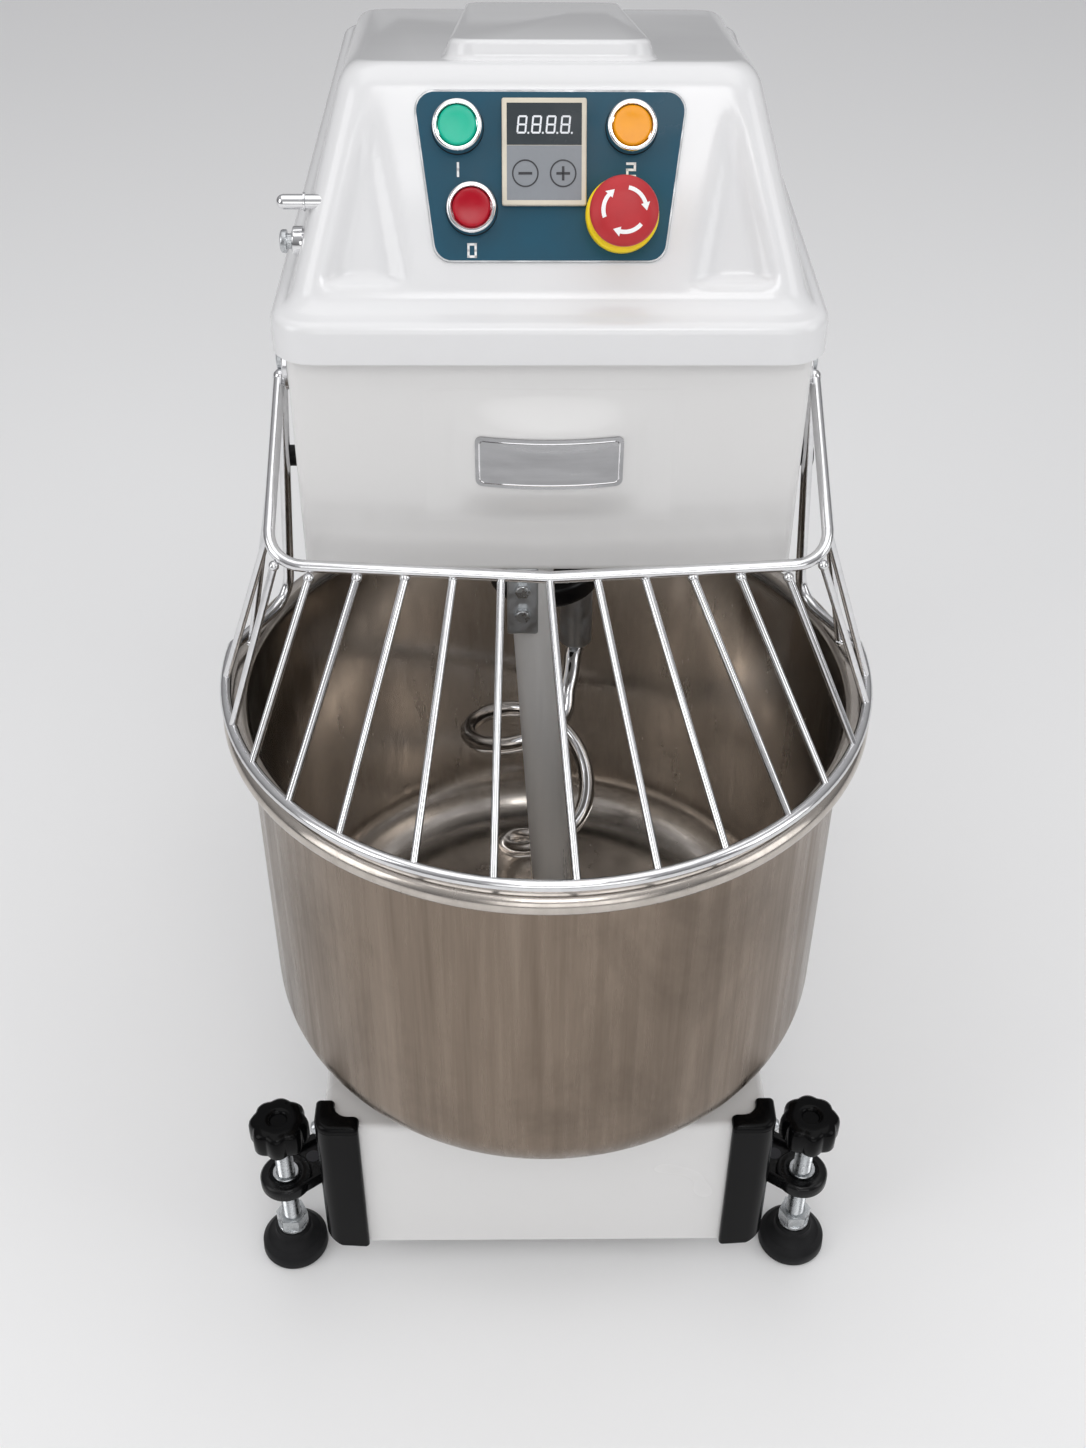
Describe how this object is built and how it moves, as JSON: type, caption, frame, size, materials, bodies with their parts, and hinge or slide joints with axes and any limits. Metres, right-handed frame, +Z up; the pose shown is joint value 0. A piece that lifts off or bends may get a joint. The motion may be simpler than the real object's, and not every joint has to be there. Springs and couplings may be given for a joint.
{
  "type": "spiral dough mixer",
  "caption": "Floor-standing spiral dough mixer with a turning steel bowl, spiral hook, breaker bar, hinged wire guard and sloping control face.",
  "frame": {"origin": "on the floor, under the middle of the machine's overall box", "axes": "+X to the machine's right as seen from its front, +Y from the bowl to the back, +Z up"},
  "size_m": [0.454, 0.7502, 0.8919],
  "materials": {
    "white_paint": "smooth gloss enamel on sheet steel",
    "hood_gloss": "gloss white moulding",
    "frame_paint": "grey primer on welded plate",
    "bowl_steel": "spun stainless with fine vertical brushing",
    "polished_steel": "polished stainless",
    "guard_steel": "bright polished stainless wire",
    "satin_steel": "satin bead-blasted steel",
    "bright_zinc": "bright zinc plating",
    "chrome": "chrome plate",
    "black_moulding": "gloss black moulding",
    "black_casting": "black enamel on a rough casting",
    "black_rubber": "matt black rubber",
    "panel_blue": "printed teal plate with a bright edge",
    "green_cap": "translucent green",
    "amber_cap": "translucent amber",
    "red_cap": "translucent red",
    "stop_red": "satin red with plain white arrows",
    "stop_yellow": "yellow",
    "timer_case": "pale grey frame round a dark window",
    "badge_steel": "bare brushed plate",
    "machined_iron": "machined grey iron",
    "ground_steel": "ground shaft steel",
    "bearing_steel": "bearing steel",
    "belt_rubber": "rubber V-belt",
    "motor_paint": "blue-grey enamel on cast ribs",
    "switch_plastic": "dark moulded switchgear",
    "wheel_rubber": "grey-black castor tyre"
  },
  "bodies": {
    "frame": {"chassis": "frame_paint", "base_cover": "white_paint", "body_shell": "white_paint", "rear_panel": "white_paint", "cover_screws": "bright_zinc", "hood": "hood_gloss", "control_panel": "panel_blue", "button_bezels": "chrome", "button_bodies": "switch_plastic", "estop_collar": "stop_yellow", "timer_module": "timer_case", "badge_plate": "badge_steel", "side_fittings": "chrome", "electrical_box": "bright_zinc", "contactors": "switch_plastic", "breaker_bar": "polished_steel", "bar_clamp": "polished_steel", "bright_fasteners": "bright_zinc", "spindle_housing": "machined_iron", "bearings": "bearing_steel", "bowl_bearing_housing": "machined_iron", "motor": "motor_paint", "drive_belts": "belt_rubber", "guard_bushes": "black_moulding", "guard_stops": "black_rubber", "corner_guards": "black_moulding", "foot_brackets": "black_casting", "castor_mounts": "bright_zinc"},
    "bowl": {"bowl": "bowl_steel", "bowl_flange": "ground_steel", "bowl_shaft": "ground_steel", "bowl_pulley": "machined_iron"},
    "hook": {"hook": "polished_steel", "hook_sleeve": "satin_steel", "hook_hub": "machined_iron", "hook_spindle": "ground_steel", "hook_pulley": "machined_iron"},
    "layshaft": {"layshaft": "ground_steel"},
    "countershaft": {"countershaft": "ground_steel"},
    "rotor": {"motor_rotor": "ground_steel"},
    "guard": {"guard": "guard_steel", "guard_pins": "chrome"},
    "slow_button": {"start_slow_button": "green_cap"},
    "fast_button": {"start_fast_button": "amber_cap"},
    "stop_button": {"stop_button": "red_cap"},
    "jog_button": {"jog_button": "chrome"},
    "estop_stem": {"estop_stem": "stop_red"},
    "estop_head": {"estop_head": "stop_red"},
    "left_foot_pad": {"left_foot_pad": "black_rubber"},
    "right_foot_pad": {"right_foot_pad": "black_rubber"},
    "left_foot_screw": {"left_foot_screw": "bright_zinc", "left_foot_knob": "black_moulding"},
    "right_foot_screw": {"right_foot_screw": "bright_zinc", "right_foot_knob": "black_moulding"},
    "left_castor": {"left_castor_fork": "bright_zinc"},
    "right_castor": {"right_castor_fork": "bright_zinc"},
    "front_left_wheel": {"front_left_wheel": "wheel_rubber"},
    "front_right_wheel": {"front_right_wheel": "wheel_rubber"},
    "rear_left_wheel": {"rear_left_wheel": "wheel_rubber"},
    "rear_right_wheel": {"rear_right_wheel": "wheel_rubber"}
  },
  "joints": [
    {"name": "layshaft_spin", "type": "hinge", "parent": "frame", "child": "layshaft", "pos_m": [0, 0.1299, 0.742], "axis": [0, 0, 1], "continuous": true},
    {"name": "countershaft_spin", "type": "hinge", "parent": "frame", "child": "countershaft", "pos_m": [0, 0.0044, 0.183], "axis": [0, 0, 1], "continuous": true},
    {"name": "bowl_spin", "type": "hinge", "parent": "frame", "child": "bowl", "pos_m": [0, -0.1576, 0.1995], "axis": [0, 0, 1], "continuous": true},
    {"name": "hook_spin", "type": "hinge", "parent": "frame", "child": "hook", "pos_m": [0, -0.0376, 0.595], "axis": [0, 0, 1], "continuous": true},
    {"name": "motor_spin", "type": "hinge", "parent": "frame", "child": "rotor", "pos_m": [0, 0.2629, 0.742], "axis": [0, 0, 1], "continuous": true},
    {"name": "guard_hinge", "type": "hinge", "parent": "frame", "child": "guard", "pos_m": [0, -0.0976, 0.7], "axis": [-1, 0, 0], "range_deg": [0, 75]},
    {"name": "slow_push", "type": "slide", "parent": "frame", "child": "slow_button", "axis": [0, 0.8788, -0.4772], "range_m": [0, 0.0035], "stiffness_N_per_m": 300, "springref_m": -0.003},
    {"name": "fast_push", "type": "slide", "parent": "frame", "child": "fast_button", "axis": [0, 0.8788, -0.4772], "range_m": [0, 0.0035], "stiffness_N_per_m": 300, "springref_m": -0.003},
    {"name": "stop_push", "type": "slide", "parent": "frame", "child": "stop_button", "axis": [0, 0.8788, -0.4772], "range_m": [0, 0.0035], "stiffness_N_per_m": 300, "springref_m": -0.003},
    {"name": "jog_push", "type": "slide", "parent": "frame", "child": "jog_button", "axis": [1, 0, 0], "range_m": [0, 0.003], "stiffness_N_per_m": 300, "springref_m": -0.003},
    {"name": "estop_push", "type": "slide", "parent": "frame", "child": "estop_stem", "axis": [0, 0.8788, -0.4772], "range_m": [0, 0.004]},
    {"name": "estop_twist", "type": "hinge", "parent": "estop_stem", "child": "estop_head", "pos_m": [0.04, -0.14865, 0.81243], "axis": [0, 0.8788, -0.4772], "range_deg": [0, 45], "stiffness_Nm_per_rad": 0.05, "springref_deg": -11.46},
    {"name": "left_foot_slide", "type": "slide", "parent": "frame", "child": "left_foot_pad", "axis": [0, 0, 1], "range_m": [0, 0.012]},
    {"name": "left_foot_turn", "type": "hinge", "parent": "left_foot_pad", "child": "left_foot_screw", "pos_m": [-0.201, -0.2696, 0.095], "axis": [0, 0, 1], "range_deg": [0, 2160]},
    {"name": "left_castor_swivel", "type": "hinge", "parent": "frame", "child": "left_castor", "pos_m": [-0.1125, -0.2336, 0.06], "axis": [0, 0, 1], "continuous": true},
    {"name": "front_left_wheel_roll", "type": "hinge", "parent": "left_castor", "child": "front_left_wheel", "pos_m": [-0.1125, -0.2136, 0.025], "axis": [1, 0, 0], "continuous": true},
    {"name": "rear_left_wheel_roll", "type": "hinge", "parent": "frame", "child": "rear_left_wheel", "pos_m": [-0.1125, 0.3049, 0.025], "axis": [1, 0, 0], "continuous": true},
    {"name": "right_foot_slide", "type": "slide", "parent": "frame", "child": "right_foot_pad", "axis": [0, 0, 1], "range_m": [0, 0.012]},
    {"name": "right_foot_turn", "type": "hinge", "parent": "right_foot_pad", "child": "right_foot_screw", "pos_m": [0.201, -0.2696, 0.095], "axis": [0, 0, 1], "range_deg": [0, 2160]},
    {"name": "right_castor_swivel", "type": "hinge", "parent": "frame", "child": "right_castor", "pos_m": [0.1125, -0.2336, 0.06], "axis": [0, 0, 1], "continuous": true},
    {"name": "front_right_wheel_roll", "type": "hinge", "parent": "right_castor", "child": "front_right_wheel", "pos_m": [0.1125, -0.2136, 0.025], "axis": [1, 0, 0], "continuous": true},
    {"name": "rear_right_wheel_roll", "type": "hinge", "parent": "frame", "child": "rear_right_wheel", "pos_m": [0.1125, 0.3049, 0.025], "axis": [1, 0, 0], "continuous": true}
  ],
  "couplings": [
    {"joint": "countershaft_spin", "follows": "layshaft_spin", "ratio": 0.4},
    {"joint": "bowl_spin", "follows": "layshaft_spin", "ratio": 0.083333},
    {"joint": "hook_spin", "follows": "layshaft_spin", "ratio": 0.52941},
    {"joint": "motor_spin", "follows": "layshaft_spin", "ratio": 2.8125},
    {"joint": "left_foot_slide", "follows": "left_foot_turn", "m_per_rad": 0.00031831},
    {"joint": "right_foot_slide", "follows": "right_foot_turn", "m_per_rad": 0.00031831}
  ]
}
